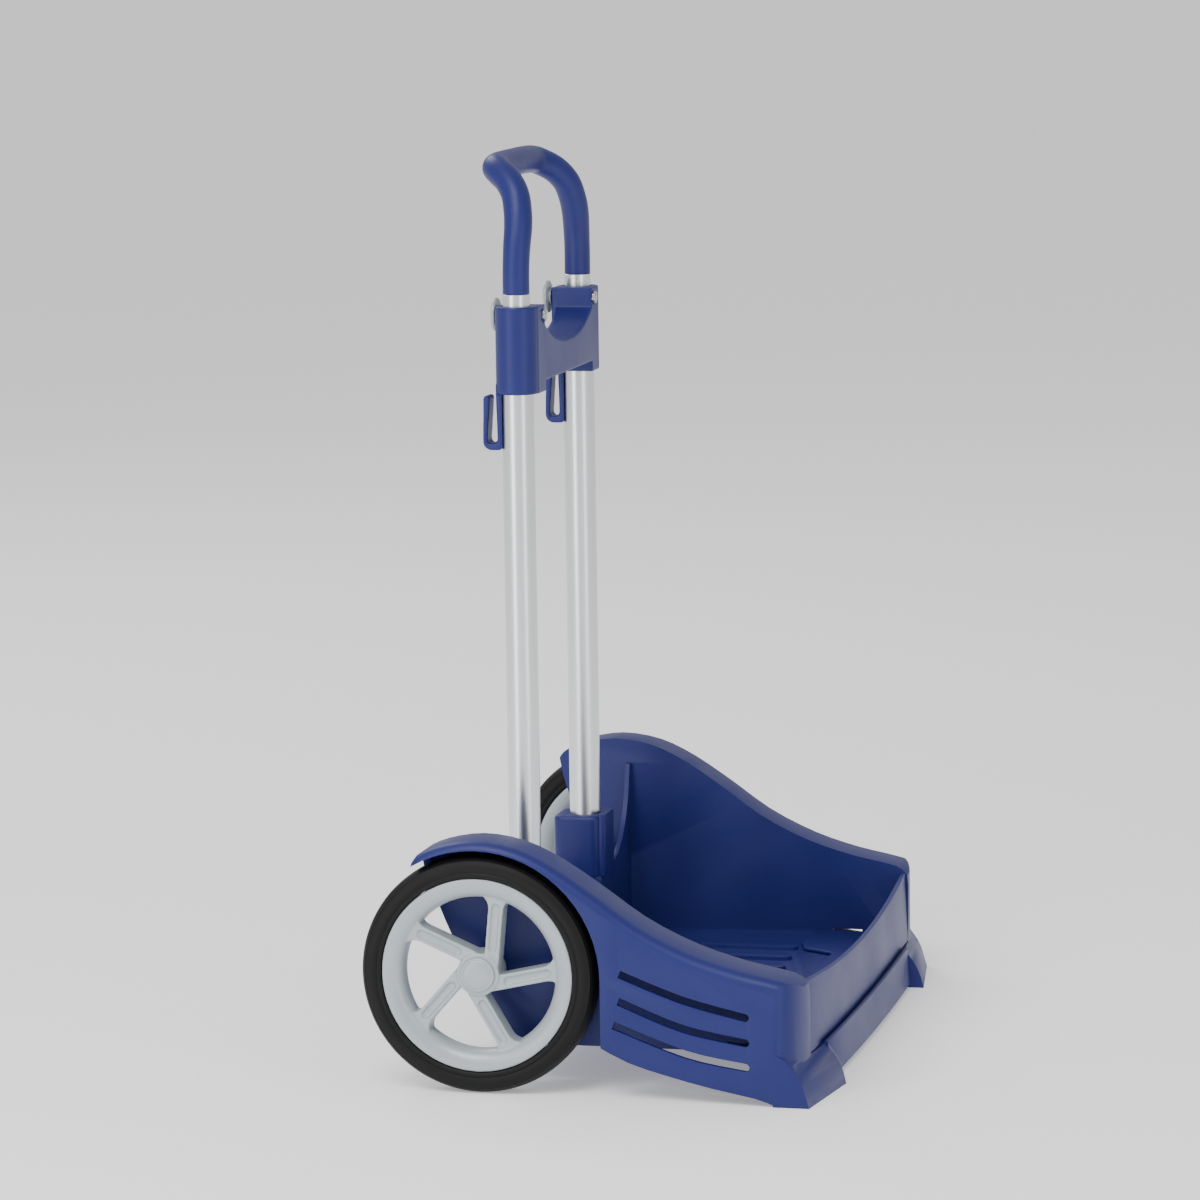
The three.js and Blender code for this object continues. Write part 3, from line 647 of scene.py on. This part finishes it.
outer_profile = tube_profile(OUTER_TUBE_RADIUS, OUTER_TUBE_BOTTOM, OUTER_TUBE_TOP)
outer = smooth_shading(turned_tube("outer_tube_left_visual", outer_profile, 96), 25)
install_pair(outer, CHASSIS, "outer_tube", anodised_aluminium)
inner_profile = tube_profile(INNER_TUBE_RADIUS, INNER_TUBE_BOTTOM, INNER_TUBE_TOP)
inner = smooth_shading(turned_tube("inner_tube_left_visual", inner_profile, 96), 25)
install_pair(inner, HANDLE, "inner_tube", anodised_aluminium)
plug_profile = [
    (0, 123), (8, 123), (8.5, 123.5), (8.5, 127.2), (8.2, 127.7), (7.0, 127.7), (7.0, 144.8),
    (5.8, 146), (0, 146),
]
plug = smooth_shading(turned_tube("glide_plug_left_visual", plug_profile, 64))
install_pair(plug, HANDLE, "glide_plug", black_nylon)

# %% [markdown]
# ## Tube sockets
#
# A short rounded block stands on the rear beam round the foot of each tube, with a flat facing
# on the tray side and a cross-headed screw at the back. Its upright edges and its rim are
# generously rounded, so it is a rounded outline pushed up, whose top edge is then bevelled.

# %% Tube sockets
SOCKET_BOTTOM, SOCKET_TOP, FACING_TOP = 82.3, 122, 123
SCREW_Z = 100

socket_outline = rounded_rectangle(-TUBE_X - 15, -TUBE_X + 15, 57.5, 89, 6)
socket = prism_z("tube_socket_left_visual", socket_outline, SOCKET_BOTTOM, SOCKET_TOP)
pick(socket, lambda centre, normal: normal.z > 0.9)
bpy.ops.mesh.bevel(offset=3 * MM, segments=6)
leave()
facing_outline = rounded_rectangle(-TUBE_X - 13, -TUBE_X + 13, 54.3, 59, 1.5, 4)
add_to(socket, prism_z("facing", facing_outline, SOCKET_BOTTOM, FACING_TOP))
cut_from(
    socket,
    rod("bore", OUTER_TUBE_RADIUS + 0.3, (-TUBE_X, AXLE_Y, 50), (-TUBE_X, AXLE_Y, 150), 96),
    rod("screw hole", 1.9, (-TUBE_X, AXLE_Y, SCREW_Z), (-TUBE_X, 100, SCREW_Z), 24),
    rod("screw seat", 4, (-TUBE_X, 87, SCREW_Z), (-TUBE_X, 100, SCREW_Z), 48),
)
round_edges(socket, 0.6, 3, 45)
install_pair(socket, CHASSIS, "tube_socket", blue_polypropylene)

screw_profile = [
    (0, 89.4), (1.6, 89.35), (2.8, 89.0), (3.45, 88.4), (3.6, 87.7), (3.6, 87.3), (1.6, 87.3),
    (1.6, 77), (0, 77),
]
screw_centre = Vector((-TUBE_X, 0, SCREW_Z))
screw = turned("socket_screw_left_visual", screw_profile, screw_centre, Y_AXIS, 48)
for name, half_x, half_z in (("drive", 2.1, 0.5), ("cross drive", 0.5, 2.1)):
    low = (-TUBE_X - half_x, 88.2, SCREW_Z - half_z)
    high = (-TUBE_X + half_x, 90, SCREW_Z + half_z)
    cut_from(screw, block(name, low, high))
install_pair(smooth_shading(screw), CHASSIS, "socket_screw", zinc_steel)

# %% [markdown]
# ## Cross head
#
# One moulding clamps both tubes: a rounded sleeve round each, with a square ear on its inner
# side for the clamp bolt, a hollow bridge with a deep saddle between them, and a J hook behind each
# sleeve for a bag's strap. Its parts are made with fine curves, united, bored and melted, which
# gives the bridge its soft run into the sleeves.

# %% Cross head
HEAD_BOTTOM, HEAD_TOP, HEAD_FRONT = 414.0, 468.0, 56.8
EAR_END_X = 61.7
BRIDGE_BOTTOM, SADDLE_MIDDLE, SADDLE_END = 420.5, 441.0, 455.5
CLAMP_X, CLAMP_Z = 66.4, 461.7


def saddle(lower, half, steps=36):
    """The concave top of the bridge, lowered by a distance."""
    points = []
    for i in range(steps + 1):
        x = -half + 2 * half * i / steps
        rise = (SADDLE_END - SADDLE_MIDDLE) * abs(x / EAR_END_X) ** 2.4
        points.append((x, SADDLE_MIDDLE + rise - lower))
    return points


sleeve = rod("cross_head_visual", 13.3, (-TUBE_X, AXLE_Y, HEAD_BOTTOM), (-TUBE_X, AXLE_Y, HEAD_TOP), 96)
ear = block("ear", (-TUBE_X, HEAD_FRONT, HEAD_BOTTOM), (-EAR_END_X, 83.8, HEAD_TOP))
add_to(sleeve, ear)

hook_outline = [
    (76, 420), (76, 385.5),
    *arc(82.5, 385.5, 6.4, 185, 270, 6), *arc(86.2, 384.6, 5.5, 275, 352, 6),
    *arc(89.1, 411.2, 2.1, 5, 175, 8),
    *arc(86.4, 385.6, 2.5, 0, -85, 4), *arc(85.0, 386.2, 2.6, 250, 185, 3), (83.2, 420),
]
hook = prism_x("hook", hook_outline, -TUBE_X - 7, -TUBE_X + 7)
add_to(sleeve, hook)
head_half = both_sides(sleeve)
head_half.name = head_half.data.name = "cross_head_visual"

bridge_half = EAR_END_X + 1.5
bridge_outline = [*saddle(0, bridge_half), (bridge_half, BRIDGE_BOTTOM), (-bridge_half, BRIDGE_BOTTOM)]
bridge = prism_y("bridge", bridge_outline, HEAD_FRONT, 80)
hollow = prism_y("hollow", [*saddle(3, 57), (57, 400), (-57, 400)], HEAD_FRONT + 3, 77)
cut_from(bridge, hollow)
add_to(head_half, bridge)

bore = rod("bore", 10.4, (-TUBE_X, AXLE_Y, 300), (-TUBE_X, AXLE_Y, 456), 96)
collar = rod("collar", 8.9, (-TUBE_X, AXLE_Y, 440), (-TUBE_X, AXLE_Y, 500), 96)
nut_pocket = rod("nut pocket", 4.8, (-CLAMP_X, 40, CLAMP_Z), (-CLAMP_X, HEAD_FRONT + 1.6, CLAMP_Z), 6)
bolt_hole = rod("bolt hole", 2.4, (-CLAMP_X, 40, CLAMP_Z), (-CLAMP_X, 100, CLAMP_Z), 24)
for tool in (bore, collar, nut_pocket, bolt_hole):
    cut_from(head_half, both_sides(tool))
cross_head = melt(head_half, voxel=0.72, rounds=11)
install(cross_head, "chassis", "cross_head", blue_polypropylene)

# %% [markdown]
# ## Clamp knobs, bolts and nuts
#
# Each ear is closed by a bolt with a flat round knob behind and a nut held in a pocket in front.
# The knob is a thin disc with a rolled rim and a shallow dish.

# %% Clamp knobs, bolts and nuts
knob_centre = Vector((-CLAMP_X, 0, CLAMP_Z))
knob_profile = [
    (0, 87.9), (6.5, 87.8), (7.6, 87.9), (8.4, 88.3), (9.3, 88.4), (10.1, 88.1), (10.5, 87.4),
    (10.5, 86.6), (10.1, 85.9), (9.3, 85.6), (5, 85.6), (5, 84.2), (2.3, 84.2), (2.3, 87.2), (0, 87.2),
]
knob = smooth_shading(turned("clamp_knob_left_visual", knob_profile, knob_centre, Y_AXIS, 72))
install_pair(knob, KNOBS, "clamp_knob", grey_abs)
bolt_profile = [(0, 54.6), (1.7, 54.6), (2, 54.9), (2, 86.9), (0, 86.9)]
bolt = smooth_shading(turned("clamp_bolt_left_visual", bolt_profile, knob_centre, Y_AXIS, 32))
install_pair(bolt, KNOBS, "clamp_bolt", zinc_steel)
nut_back = (-CLAMP_X, HEAD_FRONT + 1.3, CLAMP_Z)
nut = rod("clamp_nut_left_visual", 4.04, (-CLAMP_X, 55, CLAMP_Z), nut_back, 6)
cut_from(nut, rod("thread", 2.3, (-CLAMP_X, 40, CLAMP_Z), (-CLAMP_X, 70, CLAMP_Z), 32))
install_pair(round_edges(nut, 0.25, 2, 30), CHASSIS, "clamp_nut", zinc_steel)

# %% [markdown]
# ## Handle
#
# The handle is a moulded U grip over the inner tubes. Its legs rise straight, swell a little
# where they bend inwards, and meet in a crossbar that leans back. A curve follows the U, and its
# round section is thicker or thinner from point to point. It is then made a mesh, which is
# dense enough for smooth shading alone.

# %% Handle
HANDLE_PATH = [
    (80, 70.5, 475.8), (80, 70.4, 490), (78, 70.2, 504), (74.4, 70, 516), (70.8, 71, 526),
    (66, 73.7, 536), (60, 79.5, 544), (53, 87, 549.3), (44, 91, 551.5), (22, 92, 552), (0, 92, 552),
]
LEG_RADIUS, BEND_RADIUS = 8.3, 8.8
SWELL_START, SWELL_HEIGHT = 492, 30
SPIGOT_RADIUS = 6.9


def catmull_rom(points, steps):
    """Points on a smooth curve through all the given ones, evenly spaced between each two."""
    padded = [points[0] * 2 - points[1], *points, points[-1] * 2 - points[-2]]
    curve = []
    for a, b, c, d in zip(padded, padded[1:], padded[2:], padded[3:]):
        for i in range(steps):
            t = i / steps
            square = (a * 2 - b * 5 + c * 4 - d) * t**2
            cube = (b * 3 - a - c * 3 + d) * t**3
            curve.append((b * 2 + (c - a) * t + square + cube) / 2)
    return [*curve, points[-1]]


half_path = [Vector(p) for p in HANDLE_PATH]
full_path = half_path + [Vector((-p.x, p.y, p.z)) for p in reversed(half_path[:-1])]
smooth_path = catmull_rom(full_path, 6)
bpy.ops.object.select_all(action="DESELECT")
bpy.ops.curve.primitive_nurbs_path_add()
handle = bpy.context.object
handle.name = handle.data.name = "handle_visual"
handle.data.splines.clear()
spline = handle.data.splines.new("POLY")
spline.points.add(len(smooth_path) - 1)
for curve_point, place in zip(spline.points, smooth_path):
    curve_point.co = (*(place * MM), 1)
    swell = min(max((place.z - SWELL_START) / SWELL_HEIGHT, 0), 1)
    curve_point.radius = LEG_RADIUS + (BEND_RADIUS - LEG_RADIUS) * swell * swell * (3 - 2 * swell)
handle.data.bevel_depth = MM
handle.data.bevel_resolution = 14
handle.data.use_fill_caps = True
handle.data.dimensions = "3D"
bpy.ops.object.convert(target="MESH")
handle = bpy.context.object
edit(handle)
tidy_normals(handle)
round_edges(handle, 0.8, 3, 60)
spigot = rod("handle_spigots", SPIGOT_RADIUS, (-TUBE_X, AXLE_Y, 452), (-TUBE_X, AXLE_Y, 477), 48)
spigots = both_sides(spigot)
only(handle)
spigots.select_set(True)
bpy.ops.object.join()
install(handle, "handle", "handle", blue_polypropylene)

# %% [markdown]
# ## Tray
#
# The tray's walls, mudguards, skirts, feet and floor are one moulding, and its CAD solid already
# has every wall. A copy of it is cleaned of the triangles that only divide flat faces, the faint
# raised border along the top of each skirt is cut in, and then every sharp edge is rounded, as on
# the real moulding.

# %% Tray


def cad_copy(node, name):
    """A merged copy of a CAD node's mesh, whose flat faces are whole again."""
    only(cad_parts[node])
    bpy.ops.object.duplicate(linked=False)
    copy = bpy.context.object
    copy.name = copy.data.name = name
    for key in list(copy.keys()):
        del copy[key]
    copy.parent = None
    edit(copy)
    bpy.ops.mesh.remove_doubles(threshold=0.01 * MM)
    bpy.ops.mesh.dissolve_limited(angle_limit=math.radians(0.4))
    leave()
    copy.data.materials.clear()
    return copy


# The field below the border: deepest at its front upper corner, and gone at its far ends.
FIELD_FRONT, FIELD_TOP, FIELD_DEPTH = -114, 69, 0.55
DEPTH_LOST_BACKWARDS, DEPTH_LOST_DOWNWARDS = 0.01875, 0.0321
FIELD_OUTLINE = [
    (-45, 86.4), (-57, 82.6), (-81, 76), (-110, 69.8), (-113.3, 68.6), (FIELD_FRONT, 66),
    (FIELD_FRONT, 41), (-60, 41),
]
tray = cad_copy("tray", "tray_visual")
field = prism_x("field", FIELD_OUTLINE, -HALF_WIDTH - 3, -HALF_WIDTH)
for vertex in field.data.vertices:
    if vertex.co.x > (-HALF_WIDTH - 1) * MM:
        behind, above = vertex.co.y / MM - FIELD_FRONT, vertex.co.z / MM - FIELD_TOP
        depth = FIELD_DEPTH - DEPTH_LOST_BACKWARDS * behind + DEPTH_LOST_DOWNWARDS * above
        vertex.co.x += depth * MM
cut_from(tray, both_sides(field))
round_edges(tray, 0.8, 3, 32)
install(tray, "chassis", "tray", blue_polypropylene)

# %% [markdown]
# ## Front panel
#
# A thin bowed panel with a dipping top edge closes the front, on a base plate that lies on the
# floor. It is treated as the tray is.

# %% Front panel
panel = cad_copy("front_panel", "front_panel_visual")
round_edges(panel, 0.7, 3, 32)
install(panel, "chassis", "front_panel", blue_polypropylene)

# %% [markdown]
# ## Floor, light and camera
#
# A very large pale floor reaches past everything that a low camera sees. A big soft light hangs
# high on the left side, a weaker one stands behind on the right to draw the edges, and two
# upright softboxes stand on either side of the view. The sky is an even white, as in a studio.

# %% Floor
bpy.ops.object.select_all(action="DESELECT")
bpy.ops.mesh.primitive_plane_add(size=240)
floor = bpy.context.object
floor.name = floor.data.name = "studio_floor"
# A light table: the pale sheet glows a little, which lifts the shadows under the trolley.
floor_finish, _, _ = new_finish(
    "pale_glowing_paper", Base_Color=linear("#fafafa"), Roughness=0.9,
    Emission_Color=(1, 1, 1, 1), Emission_Strength=0.3,
)
floor.data.materials.append(floor_finish)

# %% Lights
world = bpy.data.worlds.new("studio")
bpy.context.scene.world = world
world.use_nodes = True
world.node_tree.nodes["Background"].inputs["Color"].default_value = (1, 1, 1, 1)
world.node_tree.nodes["Background"].inputs["Strength"].default_value = 0.62


def soft_light(name, place, target, size, power):
    bpy.ops.object.light_add(type="AREA", location=place)
    light = bpy.context.object
    light.name = name
    light.data.shape = "RECTANGLE"
    light.data.size, light.data.size_y = size
    light.visible_camera = False
    light.data.energy = power
    light.rotation_euler = (Vector(target) - Vector(place)).to_track_quat("-Z", "Y").to_euler()


soft_light("key_light", (-1.9, 0.4, 2.7), (0, 0, 0.2), (1.5, 1.5), 55)
soft_light("rim_light", (1.6, 1.6, 2.2), (0, 0, 0.3), (1.2, 1.2), 22)
# The two softboxes put a long highlight down either side of each tube.
soft_light("softbox_left", (-1.1, 0.62, 0.55), (0, 0.05, 0.3), (0.4, 1.3), 5)
soft_light("softbox_right", (-0.95, -1.05, 0.55), (0, 0.05, 0.3), (0.4, 1.3), 3.5)

# %% Camera
AZIMUTH, ELEVATION, ROLL = (math.radians(a) for a in (-76.48, 8.07, -0.81))
TARGET = Vector((-5.98, 37.89, 275.3))
DISTANCE = 3280.6
SENSOR_WIDTH = 36
FOCAL_OVER_WIDTH = 4.31208

level_back = Vector((math.sin(AZIMUTH), -math.cos(AZIMUTH), 0))
back = level_back * math.cos(ELEVATION) + Z_AXIS * math.sin(ELEVATION)
level_right = Vector((math.cos(AZIMUTH), math.sin(AZIMUTH), 0))
level_up = level_right.cross(-back)
right = level_right * math.cos(ROLL) + level_up * math.sin(ROLL)
up = level_up * math.cos(ROLL) - level_right * math.sin(ROLL)
camera_data = bpy.data.cameras.new("camera")
camera_data.sensor_width = SENSOR_WIDTH
camera_data.lens = SENSOR_WIDTH * FOCAL_OVER_WIDTH
camera_data.clip_end = 400
camera = bpy.data.objects.new("camera", camera_data)
bpy.context.scene.collection.objects.link(camera)
facing_target = Matrix((right, up, back)).transposed().to_4x4()
camera.matrix_world = Matrix.Translation((TARGET + back * DISTANCE) * MM) @ facing_target
bpy.context.scene.camera = camera
